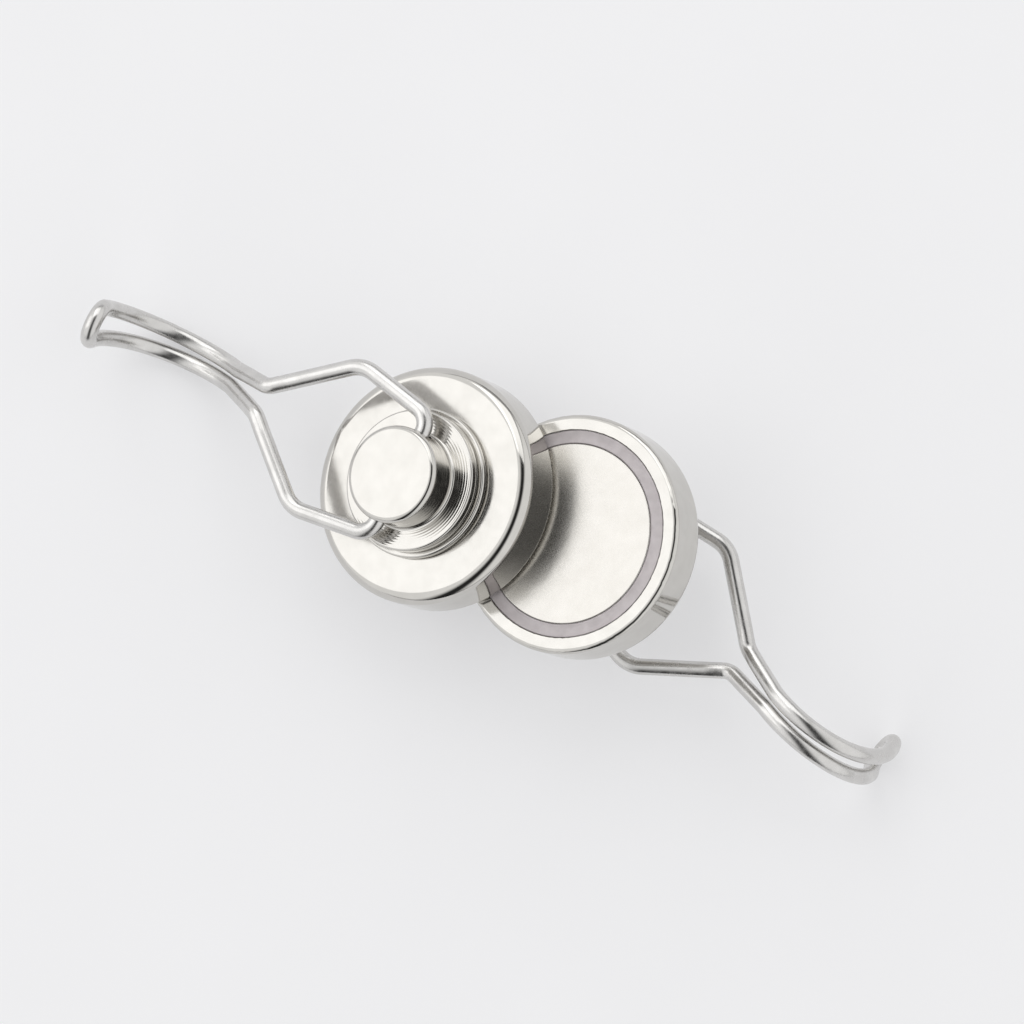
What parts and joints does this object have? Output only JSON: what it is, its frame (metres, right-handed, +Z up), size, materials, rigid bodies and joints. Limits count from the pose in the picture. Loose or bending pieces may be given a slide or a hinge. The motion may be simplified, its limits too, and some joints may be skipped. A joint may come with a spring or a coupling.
{
  "type": "swivel magnet hook pair",
  "caption": "Pair of nickel-plated cup magnets stuck face to face, each with a turned swivel head and a bent wire hook that swings in its cross hole.",
  "frame": {"origin": "on the surface that the pair lies on, under the middle of its outline", "axes": "+Z up from that surface, +X along the pair's greatest length, +Y across it"},
  "size_m": [0.11, 0.0648, 0.0246],
  "materials": {
    "cup_nickel": "bright nickel plate on drawn steel",
    "magnet_nickel": "satin nickel plate on sintered magnet",
    "resin": "cast lilac-grey resin",
    "turned_nickel": "bright nickel plate over turning marks",
    "screw_steel": "plain zinc-grey steel",
    "wire_nickel": "bright nickel plate on drawn wire"
  },
  "bodies": {
    "lower_magnet_body": {"lower_cup": "cup_nickel", "lower_magnet": "magnet_nickel", "lower_resin_ring": "resin", "lower_thrust_washer": "turned_nickel"},
    "lower_swivel": {"lower_swivel_head": "turned_nickel", "lower_swivel_screw": "screw_steel"},
    "lower_hook": {"lower_wire_hook": "wire_nickel"},
    "upper_magnet_body": {"upper_cup": "cup_nickel", "upper_magnet": "magnet_nickel", "upper_resin_ring": "resin", "upper_thrust_washer": "turned_nickel"},
    "upper_swivel": {"upper_swivel_head": "turned_nickel", "upper_swivel_screw": "screw_steel"},
    "upper_hook": {"upper_wire_hook": "wire_nickel"}
  },
  "joints": [
    {"name": "face_slide", "type": "slide", "parent": "lower_magnet_body", "child": "upper_magnet_body", "axis": [-0.8255, 0.2778, -0.4913], "range_m": [-0.019, 0.013]},
    {"name": "lower_swivel_turn", "type": "hinge", "parent": "lower_magnet_body", "child": "lower_swivel", "pos_m": [0.00965, 0.00128, 0.01683], "axis": [-0.4656, 0.1567, 0.871], "continuous": true},
    {"name": "lower_hook_swing", "type": "hinge", "parent": "lower_swivel", "child": "lower_hook", "pos_m": [0.01589, -0.00082, 0.00516], "axis": [0.6261, 0.7539, 0.199], "range_deg": [-39.4, 180.6]},
    {"name": "upper_swivel_turn", "type": "hinge", "parent": "upper_magnet_body", "child": "upper_swivel", "pos_m": [-0.00618, 0.00661, 0.00776], "axis": [-0.4656, 0.1567, 0.871], "continuous": true},
    {"name": "upper_hook_swing", "type": "hinge", "parent": "upper_swivel", "child": "upper_hook", "pos_m": [-0.01242, 0.00871, 0.01943], "axis": [0.4561, 0.8859, 0.0845], "range_deg": [-27.7, 192.3]}
  ]
}
